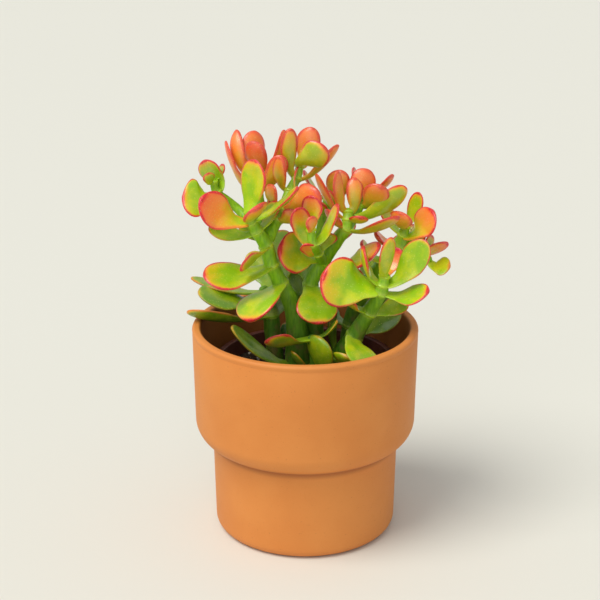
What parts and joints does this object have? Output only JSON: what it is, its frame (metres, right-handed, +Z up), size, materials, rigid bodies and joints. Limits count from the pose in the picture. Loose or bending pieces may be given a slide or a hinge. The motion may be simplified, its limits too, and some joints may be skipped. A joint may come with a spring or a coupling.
{
  "type": "potted jade plant",
  "caption": "Jade plant with thick oval leaves in opposite pairs, growing in a nursery pot that stands inside a stepped round ceramic cover pot.",
  "frame": {"origin": "on the surface the pot stands on, at the cover pot's axis", "axes": "+Z up; +X to the right and +Y away from a viewer who faces the side that the tallest stem leans out of to the left"},
  "size_m": [0.1511, 0.13, 0.236],
  "materials": {
    "terracotta": "matte",
    "plastic": "satin",
    "soil": "matte",
    "stem": "satin",
    "leaf": "satin"
  },
  "bodies": {
    "root": {"cover_pot": "terracotta", "nursery_pot": "plastic", "soil": "soil", "left_stem": "stem", "middle_stem": "stem", "right_stem": "stem", "back_right_stem": "stem", "back_left_stem": "stem", "front_sprout": "stem", "left_stem_main_leaves_1": "leaf", "left_stem_main_leaves_2": "leaf", "left_stem_main_leaves_3": "leaf", "left_stem_main_leaves_4": "leaf", "left_stem_main_leaves_5": "leaf", "left_stem_main_leaves_6": "leaf", "left_stem_main_leaves_7": "leaf", "left_stem_top_back_leaves_1": "leaf", "left_stem_top_back_leaves_2": "leaf", "left_stem_top_back_leaves_3": "leaf", "left_stem_top_right_leaves_1": "leaf", "left_stem_top_right_leaves_2": "leaf", "left_stem_top_right_leaves_3": "leaf", "left_stem_top_right_leaves_4": "leaf", "left_stem_top_right_leaves_5": "leaf", "left_stem_left_tip_leaves_1": "leaf", "left_stem_left_tip_leaves_2": "leaf", "middle_stem_main_leaves_1": "leaf", "middle_stem_main_leaves_2": "leaf", "middle_stem_main_leaves_3": "leaf", "middle_stem_main_leaves_4": "leaf", "middle_stem_main_leaves_5": "leaf", "middle_stem_main_leaves_6": "leaf", "middle_stem_front_tip_leaves_1": "leaf", "middle_stem_front_tip_leaves_2": "leaf", "middle_stem_front_tip_leaves_3": "leaf", "middle_stem_right_tip_leaves_1": "leaf", "middle_stem_right_tip_leaves_2": "leaf", "middle_stem_right_tip_leaves_3": "leaf", "middle_stem_back_tip_leaves_1": "leaf", "middle_stem_back_tip_leaves_2": "leaf", "middle_stem_back_tip_leaves_3": "leaf", "right_stem_main_leaves_1": "leaf", "right_stem_main_leaves_2": "leaf", "right_stem_main_leaves_3": "leaf", "right_stem_main_leaves_4": "leaf", "right_stem_main_leaves_5": "leaf", "right_stem_main_leaves_6": "leaf", "back_right_stem_main_leaves_1": "leaf", "back_right_stem_main_leaves_2": "leaf", "back_right_stem_main_leaves_3": "leaf", "back_right_stem_main_leaves_4": "leaf", "back_right_stem_main_leaves_5": "leaf", "back_right_stem_main_leaves_6": "leaf", "back_right_stem_right_tip_leaves_1": "leaf", "back_right_stem_right_tip_leaves_2": "leaf", "back_left_stem_main_leaves_1": "leaf", "back_left_stem_main_leaves_2": "leaf", "back_left_stem_main_leaves_3": "leaf", "front_sprout_main_leaves_1": "leaf", "front_sprout_main_leaves_2": "leaf"}
  },
  "joints": []
}
